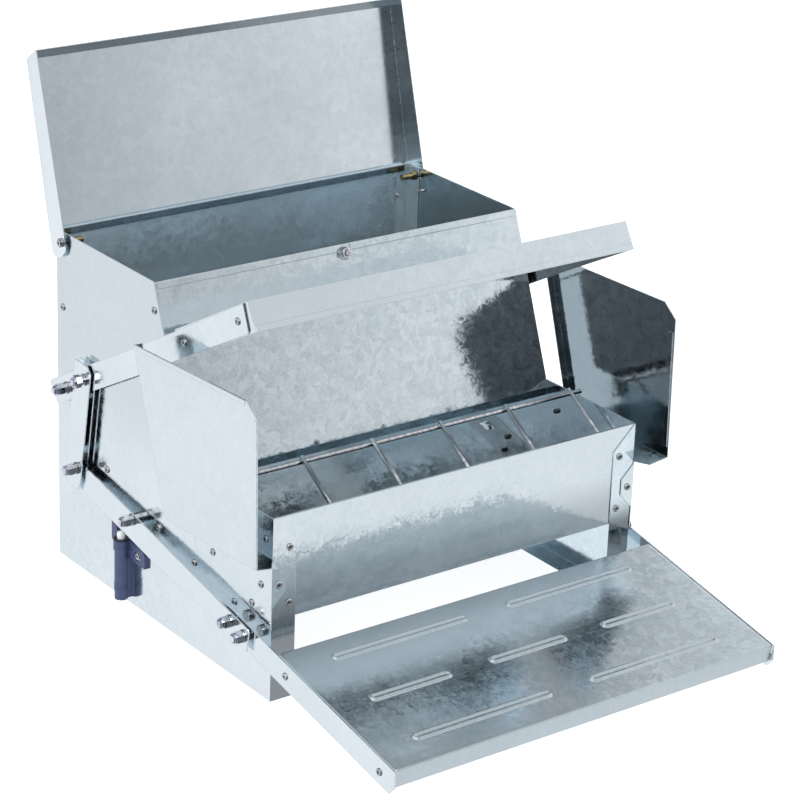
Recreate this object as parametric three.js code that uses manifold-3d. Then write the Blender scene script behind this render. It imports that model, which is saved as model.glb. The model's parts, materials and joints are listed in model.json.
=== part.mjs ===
// Gravity poultry feeder with a treadle, its trough cover and hopper lid standing open.
// Millimetres, +Z up. The trough is on the front, the -Y side. Left is -X and right is +X,
// as a bird that faces the trough sees them. Paired pieces are drawn on the left and
// mirrored. Y is counted from the outer face of the back panel; the feeder group then moves
// everything so that the origin is the bottom centre of the bounding box.

import * as THREE from "three";
import { mergeVertices } from "three/addons/utils/BufferGeometryUtils.js";
import Module from "manifold-3d";

// ---- driving dimensions ----------------------------------------------------------------
const SHEET = 0.8; // thickness of the body sheet
const PANEL_X = 185; // half width over the side panels
const PANEL_INNER_X = PANEL_X - SHEET;
const INSET_X = PANEL_INNER_X - 0.3; // half width of the sheets between the side panels
const BODY_HEIGHT = 300;
const BODY_DEPTH = 330;
const ORIGIN_Y = 233.18; // moves the bounding box centre to Y = 0

const HOPPER_TOP_Y = -155.3; // front top edge of the hopper
const HOPPER_SLOPE = THREE.MathUtils.degToRad(21.26); // hopper front, from vertical
const TROUGH_TOP = 159;

// Axes along X, as [y, z]
const TREADLE_PIVOT = [-133.4, 84.9];
const COVER_PIVOT = [-23, 164.7];
const LID_PIVOT = [-12.4, 291.4];
const UPPER_LINK = [-57, 184];
const LOWER_LINK = [-43, 98];
const JOINT_REAR = [-287, 56.5];
const JOINT_FRONT = [-307, 51.8];

const COVER_ANGLE = THREE.MathUtils.degToRad(31.05); // cover above horizontal
const LID_ANGLE = THREE.MathUtils.degToRad(104.1); // lid open from flat

const M6 = 2.9; // shank radius of the pivot bolts
const M5 = 2.5; // shank radius of the upper link bolts
const CLEARANCE = 0.3; // hole radius over shank radius
const M6_HOLE = M6 + CLEARANCE;
const NUT_CLEARANCE = 0.25; // the same for nuts and spacers

// ---- materials -------------------------------------------------------------------------
const ZINC = { color: 0xb9c3ca, roughness: 0.36, metalness: 0.85 };
const DARK_ZINC = { color: 0x9aa9b2, roughness: 0.4, metalness: 0.85 };
const STEEL = { color: 0xc6cacd, roughness: 0.25, metalness: 0.95 };
const BLUE_PLASTIC = { color: 0x4e5f94, roughness: 0.5, metalness: 0.0 };
const WHITE_PLASTIC = { color: 0xe6e8ea, roughness: 0.45, metalness: 0.0 };
const BLACK_RUBBER = { color: 0x15171a, roughness: 0.6, metalness: 0.0 };
const BRASS = { color: 0xc7a24a, roughness: 0.3, metalness: 0.9 };

// ---- solids ----------------------------------------------------------------------------
const wasm = await Module();
wasm.setup();
const { Manifold, Mesh: ManifoldMesh } = wasm;

function solid(shape) {
  shape.deleteAttribute("normal");
  shape.deleteAttribute("uv");
  const merged = mergeVertices(shape, 1e-4);
  return new Manifold(
    new ManifoldMesh({
      numProp: 3,
      vertProperties: new Float32Array(merged.attributes.position.array),
      triVerts: new Uint32Array(merged.index.array),
    }),
  );
}

function flatShaded(body) {
  const mesh = body.getMesh();
  const indexed = new THREE.BufferGeometry();
  indexed.setAttribute("position", new THREE.BufferAttribute(mesh.vertProperties, 3));
  indexed.setIndex(new THREE.BufferAttribute(mesh.triVerts, 1));
  const flat = indexed.toNonIndexed();
  flat.computeVertexNormals();
  return flat;
}

const join = (...parts) => parts.flat(2).reduce((a, b) => a.add(b));
const cut = (body, ...tools) => tools.flat(2).reduce((a, b) => a.subtract(b), body);
const mirrored = (body) => body.mirror([1, 0, 0]);
const bothSides = (...parts) => parts.map((part) => [part, mirrored(part)]);

function extrude(points, depth) {
  const shape = new THREE.Shape(points.map(([u, v]) => new THREE.Vector2(u, v)));
  return new THREE.ExtrudeGeometry(shape, { depth, bevelEnabled: false });
}

// A plate drawn in Y and Z, from x0 to x1.
function plateYZ(points, x0, x1) {
  const axes = [[0, 1, 0], [0, 0, 1], [1, 0, 0]].map((axis) => new THREE.Vector3(...axis));
  const plate = extrude(points, x1 - x0);
  plate.applyMatrix4(new THREE.Matrix4().makeBasis(...axes));
  return solid(plate.translate(x0, 0, 0));
}

// A plate drawn in X and Z, from y0 to y1.
const plateXZ = (points, y0, y1) =>
  solid(extrude(points, y1 - y0).rotateX(Math.PI / 2).translate(0, y1, 0));

// A plate drawn in X and Y, from z0 to z1.
const plateXY = (points, z0, z1) => solid(extrude(points, z1 - z0).translate(0, 0, z0));

function box([x0, x1], [y0, y1], [z0, z1]) {
  const block = new THREE.BoxGeometry(x1 - x0, y1 - y0, z1 - z0);
  return solid(block.translate((x0 + x1) / 2, (y0 + y1) / 2, (z0 + z1) / 2));
}

// A round bar along X, or a hexagonal one with 6 segments.
function barX([y, z], radius, x0, x1, segments = 20) {
  const bar = new THREE.CylinderGeometry(radius, radius, x1 - x0, segments);
  return solid(bar.rotateZ(Math.PI / 2).translate((x0 + x1) / 2, y, z));
}
const hexRadius = (acrossFlats) => acrossFlats / Math.sqrt(3);

// The tool for a hole along X through whatever stands on the left.
const drill = (centre, radius, segments) => barX(centre, radius, -220, -180, segments);

function rod(start, end, radius, segments) {
  const from = new THREE.Vector3(...start);
  const to = new THREE.Vector3(...end);
  const bar = new THREE.CylinderGeometry(radius, radius, from.distanceTo(to), segments);
  const direction = to.clone().sub(from).normalize();
  const up = new THREE.Vector3(0, 1, 0);
  bar.applyQuaternion(new THREE.Quaternion().setFromUnitVectors(up, direction));
  const middle = from.add(to).multiplyScalar(0.5);
  return solid(bar.translate(middle.x, middle.y, middle.z));
}

// Unit normal of the segment a-b in Y and Z, a quarter turn from +Y towards +Z.
const normal = (a, b) => new THREE.Vector2(a[1] - b[1], b[0] - a[0]).normalize();
const shifted = ([y, z], way, distance) => [y + way.x * distance, z + way.y * distance];

// A bent sheet with mitred bends, given by its middle line in Y and Z.
function bent(line, thickness, x0, x1) {
  const segmentNormal = (i) => normal(line[i], line[i + 1]);
  const upper = [];
  const lower = [];
  line.forEach((point, i) => {
    const before = segmentNormal(Math.max(i - 1, 0));
    const after = segmentNormal(Math.min(i, line.length - 2));
    const mitre = before.clone().add(after).normalize();
    const reach = thickness / 2 / mitre.dot(before);
    upper.push(shifted(point, mitre, reach));
    lower.push(shifted(point, mitre, -reach));
  });
  return plateYZ(upper.concat(lower.reverse()), x0, x1);
}

// A strip that lies along a-b and is as wide as given on the normal's side.
function strip(a, b, width, x0, x1) {
  const way = normal(a, b);
  return plateYZ([a, b, shifted(b, way, width), shifted(a, way, width)], x0, x1);
}

// Low rivet heads, sunk a little into the face they stand on.
const RIVET = { radius: 2.6, topRadius: 2.6 * 0.55, height: 1.1, sunk: 0.3, segments: 8 };
const rivetHead = () =>
  new THREE.CylinderGeometry(
    RIVET.topRadius,
    RIVET.radius,
    RIVET.height + RIVET.sunk,
    RIVET.segments,
  );
const RIVET_MIDDLE = (RIVET.height - RIVET.sunk) / 2;
const leftRivet = (y, z, faceX) =>
  solid(rivetHead().rotateZ(Math.PI / 2).translate(faceX - RIVET_MIDDLE, y, z));
const frontRivet = (x, z, faceY) =>
  solid(rivetHead().rotateX(Math.PI).translate(x, faceY - RIVET_MIDDLE, z));

// Gives points relative to an axis.
const relativeTo = (origin) => ([y, z]) => [y - origin[0], z - origin[1]];

// ---- fasteners along X, on the left ----------------------------------------------------
// The head grows from seatX towards +X, the shank runs out to tipX.
const bolt = (centre, { seatX, tipX, radius, headRadius, headLength }) =>
  join(
    barX(centre, headRadius, seatX, seatX + headLength, 18),
    barX(centre, radius, tipX, seatX + 0.5, 18),
  );

const NUT = { flangeRadius: 5.4, collarRadius: 4.3, acrossFlats: 9.8, hexLength: 5.4 };

// A lock nut with its flange at faceX, growing towards -X: flange, collar, hexagon, ring.
function lockNut(centre, faceX, boltRadius, collarLength = 3.2) {
  const hexStart = faceX - collarLength;
  const hexEnd = hexStart - NUT.hexLength;
  return cut(
    join(
      barX(centre, NUT.flangeRadius, faceX - 1.1, faceX, 18),
      barX(centre, NUT.collarRadius, hexStart, faceX - 1, 18),
      barX(centre, hexRadius(NUT.acrossFlats), hexEnd, hexStart + 0.01, 6),
      barX(centre, NUT.collarRadius, hexEnd - 1.6, hexEnd + 0.1, 18),
    ),
    drill(centre, boltRadius + NUT_CLEARANCE, 18),
  );
}

const pivotBolt = (centre, tipX) =>
  bolt(centre, { seatX: -PANEL_INNER_X, tipX, radius: M6, headRadius: 5.4, headLength: 3 });

// From the side panel out to outerX.
const pivotSpacer = (centre, outerX) =>
  cut(barX(centre, 4.6, outerX, -PANEL_X, 18), drill(centre, M6 + NUT_CLEARANCE, 18));

const linkBolt = (centre, radius, headRadius) =>
  bolt(centre, { seatX: -187.05, tipX: -204.5, radius, headRadius, headLength: 1.5 });
const LINK_NUT_X = -193.75;

// ---- hopper slope ----------------------------------------------------------------------
const SLOPE_SIN = Math.sin(HOPPER_SLOPE);
const SLOPE_COS = Math.cos(HOPPER_SLOPE);

// A point of the hopper front's outer face, a distance down from the top, moved outwards.
const onHopper = (down, out = 0) => [
  HOPPER_TOP_Y - down * SLOPE_SIN - out * SLOPE_COS,
  BODY_HEIGHT - down * SLOPE_COS + out * SLOPE_SIN,
];
const downTo = (z) => (BODY_HEIGHT - z) / SLOPE_COS;

// ---- side panel ------------------------------------------------------------------------
const FRONT_FLANGE = 22.5; // widths of the flanges
const BOTTOM_FLANGE = 20.5;
const FRONT_FLANGE_TOP = 137; // from here the flange tapers to the trough's top
const SIDE_RIVETS = [ // y, z
  [-9.7, 232.6], [-155.2, 275.7], [-81.4, 109], [-164, 87.5],
  [-218, 77.1], [-277.2, 66.4], [-319.8, 138.5],
];
const FRONT_RIVETS = [[-169, 132], [-169, 84]]; // x, z

function sidePanel() {
  const setBack = (SHEET + 0.4) / SLOPE_COS; // room for the hopper front
  const sheet = plateYZ(
    [
      [0, 0],
      [0, BODY_HEIGHT],
      [HOPPER_TOP_Y + setBack, BODY_HEIGHT],
      [onHopper(downTo(TROUGH_TOP))[0] + setBack, TROUGH_TOP],
      [-BODY_DEPTH, TROUGH_TOP],
      [-BODY_DEPTH, 0],
    ],
    -PANEL_X,
    -PANEL_INNER_X,
  );
  const frontFlange = plateXZ(
    [
      [-PANEL_X, 0],
      [-PANEL_X + FRONT_FLANGE, 0],
      [-PANEL_X + FRONT_FLANGE, FRONT_FLANGE_TOP],
      [-PANEL_X, TROUGH_TOP],
    ],
    -BODY_DEPTH,
    -BODY_DEPTH + SHEET,
  );
  return cut(
    join(
      sheet,
      frontFlange,
      box([-PANEL_X, -PANEL_X + BOTTOM_FLANGE], [-BODY_DEPTH, -1.4], [0, SHEET]),
      SIDE_RIVETS.map(([y, z]) => leftRivet(y, z, -PANEL_X)),
      FRONT_RIVETS.map(([x, z]) => frontRivet(x, z, -BODY_DEPTH)),
    ),
    [TREADLE_PIVOT, COVER_PIVOT, LID_PIVOT].map((pivot) => drill(pivot, M6_HOLE)),
  );
}

// ---- back panel ------------------------------------------------------------------------
function backPanel() {
  const footX = PANEL_X - BOTTOM_FLANGE - 0.5;
  const sideFlange = cut(
    box([-INSET_X, -INSET_X + SHEET], [-17, 0], [1.2, BODY_HEIGHT - 1]),
    drill(LID_PIVOT, M6_HOLE + 1.5),
  );
  return join(
    box([-INSET_X, INSET_X], [-SHEET, 0], [0, BODY_HEIGHT]),
    box([-INSET_X, INSET_X], [-2 * SHEET, -SHEET], [BODY_HEIGHT - 7, BODY_HEIGHT]), // top hem
    bothSides(sideFlange),
    box([-footX, footX], [-15, 0], [0, SHEET]),
  );
}

// ---- hopper front and its bolt ---------------------------------------------------------
const HOPPER_BOLT_Z = 292.6;

// A rod square to the hopper front on the bolt's axis, between two distances outwards.
function hopperBoltRod(out0, out1, radius, segments) {
  const at = (out) => [0, ...onHopper(downTo(HOPPER_BOLT_Z), out)];
  return rod(at(out0), at(out1), radius, segments);
}

// It laps the slanted edges of the side panels and reaches down between them.
function hopperFrontPanel() {
  const foot = onHopper(downTo(152), -SHEET / 2);
  const nose = onHopper(downTo(TROUGH_TOP + 0.4), -SHEET / 2);
  const sheet = bent(
    [onHopper(0, -SHEET / 2), foot, [foot[0], 145]],
    SHEET,
    -INSET_X,
    INSET_X,
  );
  const hemX = INSET_X - 0.2;
  const topHem = bent([onHopper(0.4, -1.15), onHopper(9, -1.15)], SHEET, -hemX, hemX);
  const edgeLap = bent(
    [onHopper(0.1, -SHEET / 2), nose],
    SHEET - 0.1,
    -PANEL_X,
    -INSET_X + 1,
  );
  const flangeX = -INSET_X + 0.1;
  const flangeFoot = downTo(166);
  const sideFlange = plateYZ(
    [
      onHopper(11, -0.5),
      onHopper(11, -18),
      onHopper(flangeFoot, -18),
      onHopper(flangeFoot, -0.5),
    ],
    flangeX,
    flangeX + SHEET,
  );
  return cut(
    join(sheet, topHem, bothSides(edgeLap, sideFlange)),
    hopperBoltRod(-4, 3, 3.1, 20),
  );
}

// Its head is inside the hopper.
const hopperFrontBolt = () =>
  join(hopperBoltRod(-4.2, 6.2, 2.8, 18), hopperBoltRod(-4.2, -1.7, 5.2, 18));

const hopperFrontNut = () =>
  cut(
    join(hopperBoltRod(0.1, 1.1, 5.6, 18), hopperBoltRod(1.0, 5.0, hexRadius(9.4), 6)),
    hopperBoltRod(-1, 7, 3.05, 18),
  );

// ---- trough pan ------------------------------------------------------------------------
const TROUGH_FOOT = 70.5; // bottom fold of the trough's front wall
const FLOOR_FOLD = -197; // the floor is level in front of this and rises behind it
const FLOOR_RISE = 0.262;
const TROUGH_WALL_Y = -328.75; // middle planes of the front wall and its top hem
const TROUGH_HEM_Y = -327.35;

// A point on the floor's middle line, moved up.
const onFloor = (y, up = 0) => [
  y,
  TROUGH_FOOT + SHEET / 2 + Math.max(0, y - FLOOR_FOLD) * FLOOR_RISE + up,
];

// Front wall and floor are one sheet, with a hem at the top and flanges at the sides.
function troughPan() {
  const sheet = bent(
    [
      [TROUGH_HEM_Y, 150.5],
      [TROUGH_HEM_Y, 158.2],
      [TROUGH_WALL_Y, 158.2],
      onFloor(TROUGH_WALL_Y),
      onFloor(FLOOR_FOLD),
      onFloor(-1.9),
    ],
    SHEET,
    -INSET_X,
    INSET_X,
  );
  const upperFlange = [
    onFloor(-240),
    onFloor(-236, 14.5),
    [FLOOR_FOLD - 2, onFloor(FLOOR_FOLD, 14.5)[1]],
    onFloor(-66, 15.5),
    onFloor(-60),
    onFloor(FLOOR_FOLD),
  ];
  const lowerFlange = [onFloor(-300), onFloor(-296, -14), onFloor(-250, -14), onFloor(-245)];
  const flanges = [upperFlange, lowerFlange].map((points) =>
    plateYZ(points, -INSET_X, -INSET_X + SHEET),
  );
  const rearNotch = box([-INSET_X - 2, -INSET_X + SHEET + 0.5], [-18, 0], [100, 140]);
  const boltHeadRoom = barX(TREADLE_PIVOT, 6.6, -190, -178);
  return cut(join(sheet, bothSides(...flanges)), bothSides(rearNotch, boltHeadRoom));
}

// ---- feed saver grille -----------------------------------------------------------------
const REAR_ROD = { x: 188.2, y: -252.5, z: 161.15 }; // over the side panels' top edges
const FRONT_ROD = { x: 181, y: -324.6, z: 122.5 }; // inside the trough front
const GRILLE_BAR = { count: 6, pitch: 70, rear: [-251.9, 165.5], front: [-324.6, 120.4] };

function feedSaverGrille() {
  const crossRod = ({ x, y, z }) => rod([-x, y, z], [x, y, z], 2.1, 12);
  const bars = Array.from({ length: GRILLE_BAR.count }, (_, i) => {
    const x = (i - (GRILLE_BAR.count - 1) / 2) * GRILLE_BAR.pitch;
    return rod([x, ...GRILLE_BAR.rear], [x, ...GRILLE_BAR.front], 2.0, 10);
  });
  return join(crossRod(REAR_ROD), crossRod(FRONT_ROD), bars);
}

// ---- side guard ------------------------------------------------------------------------
const GUARD_X = 210.5; // outer face, at the front edge
const GUARD_FRONT = -345.6;
const GUARD_SPLAY = 0.021; // how fast the plate spreads outwards towards the back
const GUARD_FALL = 3.2; // fall of the bottom flange towards the side panel
// Corners, as [y, z]
const GUARD_BACK_TOP = [-171.2, 257.4];
const GUARD_BACK_FOOT = [-215.2, 127.1];
const GUARD_FOOT_REAR = [-218.5, 122.6];
const GUARD_FOOT_FRONT = [GUARD_FRONT, 127.4];

// The plate with its flanges, drawn square and then warped.
function guardPlate() {
  const plate = plateYZ(
    [
      GUARD_BACK_TOP,
      GUARD_BACK_FOOT,
      GUARD_FOOT_REAR,
      GUARD_FOOT_FRONT,
      [-342.6, 251.8],
      [-327.4, 263.1],
      [-176, 258.2],
    ],
    -GUARD_X,
    -GUARD_X + SHEET,
  );
  const backFlange = strip(
    GUARD_BACK_FOOT,
    GUARD_BACK_TOP,
    SHEET,
    -GUARD_X + 0.05,
    -GUARD_X + 6.6,
  );
  const frontHem = strip(
    [GUARD_FRONT + 1.5, 137],
    [-341, 240],
    -5,
    -GUARD_X + 0.2,
    -GUARD_X + 2 * SHEET,
  );
  // the inner corner in front of the body is cut off
  const corner = plateXY(
    [
      [-191.5, GUARD_FRONT - 3],
      [-180, GUARD_FRONT - 3],
      [-180, -BODY_DEPTH + 0.5],
      [-PANEL_X - 0.3, -BODY_DEPTH + 0.5],
    ],
    100,
    150,
  );
  const bottomFlange = cut(
    strip(GUARD_FOOT_FRONT, GUARD_FOOT_REAR, SHEET, -GUARD_X + 0.1, -PANEL_X),
    corner,
  );
  return join(plate, backFlange, frontHem, bottomFlange).warp((v) => {
    const outward = (-PANEL_X - v[0]) / (GUARD_X - PANEL_X); // 0 at the panel, 1 at the guard
    if (v[2] < 135 && v[0] > -GUARD_X + SHEET + 0.02) v[2] -= GUARD_FALL * (1 - outward);
    v[0] -= GUARD_SPLAY * (v[1] - GUARD_FRONT) * outward;
  });
}

function sideGuard() {
  const mountX = -PANEL_X - SHEET;
  const mountY = -BODY_DEPTH - SHEET;
  const mountPlate = plateYZ(
    [
      [GUARD_FOOT_REAR[0], GUARD_FOOT_REAR[1] - GUARD_FALL + SHEET],
      [-221, 92],
      [-BODY_DEPTH, 63],
      [mountY, 63],
      [mountY, GUARD_FOOT_FRONT[1] - GUARD_FALL + 0.3],
    ],
    mountX,
    -PANEL_X,
  );
  const frontTab = plateXZ(
    [[mountX, 81.5], [-172.5, 95.6], [-172.5, 109.8], [mountX, 122.6]],
    mountY,
    -BODY_DEPTH,
  );
  const rivets = [[-246.2, 98], [-303.2, 76.8], [-315.6, 97.8]]; // y, z
  return join(
    guardPlate(),
    mountPlate,
    frontTab,
    rivets.map(([y, z]) => leftRivet(y, z, mountX)),
    frontRivet(-179.6, 102, mountY),
  );
}

// ---- lid hinge -------------------------------------------------------------------------
// A pan head screw outside, stepped at the head.
const lidHingeScrew = () =>
  join(
    barX(LID_PIVOT, 2.4, -188.2, -176, 16),
    barX(LID_PIVOT, 3.9, -189.6, -188.1, 16),
    barX(LID_PIVOT, 2.9, -190.5, -189.4, 16),
  );

// A sleeve inside the hopper, with a hexagon and a blind bore.
const lidHingeSleeve = () =>
  cut(
    join(
      barX(LID_PIVOT, 3.0, -PANEL_INNER_X + 0.1, -167.5, 16),
      barX(LID_PIVOT, 4.2, -183.0, -178.2, 6),
    ),
    barX(LID_PIVOT, 2.5, -186, -175.5, 16),
  );

// ---- damper on the left panel ----------------------------------------------------------
const DAMPER_AXIS = [-192, -115.3]; // x, y
const DAMPER_SCREW = [-134.6, 50]; // y, z
const DAMPER_BORE = 4.0;
const LARGE_LUG = [ // y, z
  [-112, 42.5], [-112, 59], [-116, 59], [-143.2, 57.6], [-146, 54], [-146, 42.5],
];
const HOOKED_LUG = [ // y, z
  [-112, 45], [-97, 46], [-91.8, 51], [-91.8, 66.5], [-93.5, 69],
  [-97, 69], [-99, 66.5], [-101, 59], [-112, 59],
];

function damperCone(radius0, radius1, z0, z1, segments = 24) {
  const cone = new THREE.CylinderGeometry(radius1, radius0, z1 - z0, segments);
  return solid(cone.rotateX(Math.PI / 2).translate(...DAMPER_AXIS, (z0 + z1) / 2));
}
const damperBar = (radius, z0, z1, segments) => damperCone(radius, radius, z0, z1, segments);

const damperBody = () =>
  cut(
    join(
      damperBar(5.8, 5, 50.5),
      damperCone(5.8, 6.7, 49, 51),
      damperBar(6.7, 50.8, 59.5),
      [14.2, 16.6, 19].map((z) => damperBar(6.1, z - 0.4, z + 0.4)), // raised rings
      box([-188.2, -PANEL_X], [-120, -110.6], [6, 59.2]),
      cut(plateYZ(LARGE_LUG, -188, -PANEL_X), drill(DAMPER_SCREW, 4.3)),
      plateYZ(HOOKED_LUG, -187, -PANEL_X),
    ),
    damperBar(5.6, 56.6, 62),
    damperBar(DAMPER_BORE, 34, 62),
  );

const damperSealRing = () =>
  cut(
    join(damperBar(5.45, 56.8, 59.7), damperBar(6.4, 59.6, 60.8)),
    damperBar(DAMPER_BORE, 55, 62),
  );

const damperScrew = () =>
  join(
    barX(DAMPER_SCREW, 3.7, -187.2, -PANEL_X - 0.05, 16),
    barX(DAMPER_SCREW, 2.7, -188.3, -187.1, 16),
  );

const damperPlunger = () =>
  join(
    damperBar(3.6, 42, 65.2, 20),
    damperCone(3.6, 3.2, 65.15, 66.1, 20),
    damperCone(3.2, 1.8, 66.05, 66.8, 20),
  );

// ---- trough cover ----------------------------------------------------------------------
// Drawn about its pivot with the front along -Y; its group tips it up.
const COVER_X = 189.5;
const COVER_FRONT = -317.4; // edges of the cover plate
const COVER_REAR = -202;
const ARM_X = -190.8; // outer face of the left arm
const coverTop = (y) => 0.4 + (y - COVER_FRONT) * 0.039; // top face of the cover plate

const ARM_OUTLINE = [ // y, z
  [24, 11], [24.5, 1], [21.5, -9], [18, -10], [-40, -12.2], [-124, -16.4], [-202, -18.8],
  [-307.5, -23.2], [-309.5, -21.5], [-313, coverTop(-313) - 0.5],
  [-200, 3.2], [-120, 6], [-50, 9.2], [21, 12.2],
];
const ARM_FLANGE = [ // y, z
  [-62, 8.55], [-120, 5.93], [-196, 3.25], [-196, 2.25], [-120, 4.93], [-62, 7.55],
];

const upperLinkInCover = new THREE.Vector2(...relativeTo(COVER_PIVOT)(UPPER_LINK))
  .rotateAround(new THREE.Vector2(), COVER_ANGLE)
  .toArray();

function coverPlate() {
  const wallY = COVER_FRONT + SHEET / 2;
  const hemY = COVER_FRONT + SHEET * 1.5;
  const sheet = bent(
    [
      [COVER_REAR, coverTop(COVER_REAR) - 5],
      [COVER_REAR, coverTop(COVER_REAR) - SHEET / 2],
      [wallY, coverTop(COVER_FRONT) - SHEET / 2],
      [wallY, -24.6],
    ],
    SHEET,
    -COVER_X,
    COVER_X,
  );
  const sideFlange = plateYZ(
    [
      [COVER_FRONT + 0.3, -24.4],
      [COVER_FRONT + 0.3, coverTop(COVER_FRONT) - 0.3],
      [COVER_REAR, coverTop(COVER_REAR) - 0.3],
      [COVER_REAR, -18.6],
    ],
    -COVER_X,
    -COVER_X + SHEET,
  );
  const frontHem = bent([[hemY, -16], [hemY, -24.4]], SHEET, -188, 188);
  return join(sheet, bothSides(sideFlange), frontHem);
}

const coverArm = () =>
  cut(
    join(
      plateYZ(ARM_OUTLINE, ARM_X, ARM_X + 1),
      plateYZ(ARM_FLANGE, ARM_X + 0.05, -186.4),
      leftRivet(-298.8, -11, ARM_X),
      leftRivet(-212.7, -8.2, ARM_X),
    ),
    drill([0, 0], M6_HOLE),
    drill(upperLinkInCover, M5 + CLEARANCE),
  );

// ---- treadle levers --------------------------------------------------------------------
// Drawn in feeder coordinates, then moved to be relative to the treadle pivot.
const LEVER_X = -190.5; // outer face of the left lever where it runs straight
const LEVER_SHEET = 1.2;
const SPLAY = 0.025; // the levers spread outwards towards the front
const SPLAY_START = -50;
const spread = (y) => SPLAY * Math.max(0, SPLAY_START - y);
const leverX = (y) => LEVER_X - spread(y);
const leverTop = (y) => 103.1 + 0.1635 * (y + 55);

const LEVER_OUTLINE = [ // y, distance below the lever's top line
  [-30, 4], [-33, 0], [-50, 0], [-180, 0], [-262, 0], [-314, 0], [-316, 2],
  [-313.5, 20.40875], [-266, 19.8], [-178, 24.8], [-50, 24.8], [-33, 22], [-30, 18],
];

const inTreadle = relativeTo(TREADLE_PIVOT);
const lowerLinkInTreadle = inTreadle(LOWER_LINK);
const jointHoles = () =>
  [JOINT_REAR, JOINT_FRONT].map((joint) => drill(inTreadle(joint), M6_HOLE));

function leverArm() {
  const outline = LEVER_OUTLINE.map(([y, below]) => inTreadle([y, leverTop(y) - below]));
  const straight = plateYZ(outline, LEVER_X, LEVER_X + LEVER_SHEET);
  // split where it starts to spread, so that it bends there
  const splitY = SPLAY_START - TREADLE_PIVOT[0];
  const rear = straight.intersect(box([-200, -180], [splitY - 0.5, 400], [-300, 300]));
  const fore = straight.intersect(box([-200, -180], [-400, splitY], [-300, 300]));
  const foreSplayed = fore.warp((v) => {
    v[0] -= spread(v[1] + TREADLE_PIVOT[0]);
  });
  return cut(
    join(rear, foreSplayed),
    drill([0, 0], M6_HOLE),
    drill(lowerLinkInTreadle, M6_HOLE),
    jointHoles(),
  );
}

// ---- treadle arm, at the side of the treadle plate -------------------------------------
const TREADLE_FALL = 0.19; // fall of the treadle towards the front
const TREADLE_TILT = Math.atan(TREADLE_FALL);
const TREADLE_BACK = -349.5;
const TREADLE_FRONT = -507.6;
const TREADLE_ARM_X = -193.5; // outer face of the left arm
const TREADLE_ARM_SHEET = 1.0;

// A point on the treadle's top line, moved down.
const onTreadle = (y, down = 0) => [y, 53.3 + (y - TREADLE_BACK) * TREADLE_FALL - down];

function treadleArm() {
  const depth = 22 / Math.cos(TREADLE_TILT);
  const tipY = TREADLE_FRONT - 0.6;
  const tipTop = onTreadle(TREADLE_FRONT)[1];
  const outline = [
    onTreadle(-272),
    [tipY, tipTop],
    [tipY, tipTop - 14],
    onTreadle(TREADLE_FRONT + 6, depth),
    onTreadle(-330, depth),
    onTreadle(-274, depth - 3),
    onTreadle(-271, 10),
  ];
  const rivets = [[-362.6, 39.4], [-488.7, 14.6]]; // y, z
  return cut(
    join(
      plateYZ(outline.map(inTreadle), TREADLE_ARM_X, TREADLE_ARM_X + TREADLE_ARM_SHEET),
      rivets.map((rivet) => leftRivet(...inTreadle(rivet), TREADLE_ARM_X)),
    ),
    jointHoles(),
  );
}

// The bolt with the spacer between arm and lever.
function jointBolt(joint) {
  const centre = inTreadle(joint);
  const x = leverX(joint[0]);
  return join(
    bolt(centre, {
      seatX: TREADLE_ARM_X + TREADLE_ARM_SHEET + 0.05,
      tipX: x - 9.9,
      radius: M6,
      headRadius: 5,
      headLength: 2.8,
    }),
    barX(centre, 4.8, x + LEVER_SHEET + 0.3, TREADLE_ARM_X - 0.1, 18),
  );
}

const jointNut = (joint) => lockNut(inTreadle(joint), leverX(joint[0]) - 0.3, M6, 1.6);

// ---- treadle plate ---------------------------------------------------------------------
// Drawn flat about its top back edge; its group tips it to its slope.
const PLATE_X = 192.3;
const PLATE_LENGTH = 160.4;
const PLATE_DEPTH = 17; // of the front and side flanges
const RIBS = [ // x and y of the centre, length
  [-89, -23, 133], [85, -23, 133],
  [-119, -79, 78], [-2, -79, 78], [114, -79, 78],
  [-89, -133, 135], [86, -133, 135],
];

// A plate with half round ends.
function stadium([x, y, length], width, z0, z1) {
  const radius = width / 2;
  const reach = length / 2 - radius;
  const points = [];
  for (const end of [1, -1]) {
    for (let i = 0; i <= 6; i++) {
      const angle = (-end * Math.PI) / 2 + (Math.PI * i) / 6;
      points.push([
        x + end * reach + radius * Math.cos(angle),
        y + radius * Math.sin(angle),
      ]);
    }
  }
  return plateXY(points, z0, z1);
}

function treadlePlate() {
  const full = [-PLATE_X, PLATE_X];
  const frontY = -PLATE_LENGTH;
  return cut(
    join(
      box(full, [frontY, 0], [-SHEET, 0]),
      box(full, [frontY, frontY + SHEET], [-PLATE_DEPTH, 0]),
      box(full, [frontY + SHEET, frontY + 8], [-PLATE_DEPTH, -PLATE_DEPTH + SHEET]),
      box(full, [-SHEET, 0], [-9, 0]),
      bothSides(box([-PLATE_X, -PLATE_X + SHEET], [frontY, 0], [-PLATE_DEPTH, 0])),
      RIBS.map((rib) => stadium(rib, 8.6, -0.4, 1.5)),
    ),
    RIBS.map(([x, y, length]) => stadium([x, y, length - 1.8], 6.8, -2, 0.75)),
  );
}

// ---- link ------------------------------------------------------------------------------
// A channel: two ears joined by a web along the back edge, drawn about the lower bolt.
const inLink = relativeTo(LOWER_LINK);
const LINK_SHEET = 1;
const LINK_OUTER_X = -193.4;
const LINK_INNER_X = -187.3;
const LINK_UPPER_HOLE = 4.0;
const EAR_OUTLINE = [ // y, z in feeder coordinates
  [-43.5, 198.6], [-63.5, 197.6], [-68.2, 192], [-50.6, 88],
  [-45.6, 78.4], [-24.6, 82], [-28.4, 109], [-36.2, 157.8],
].map(inLink);

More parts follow.
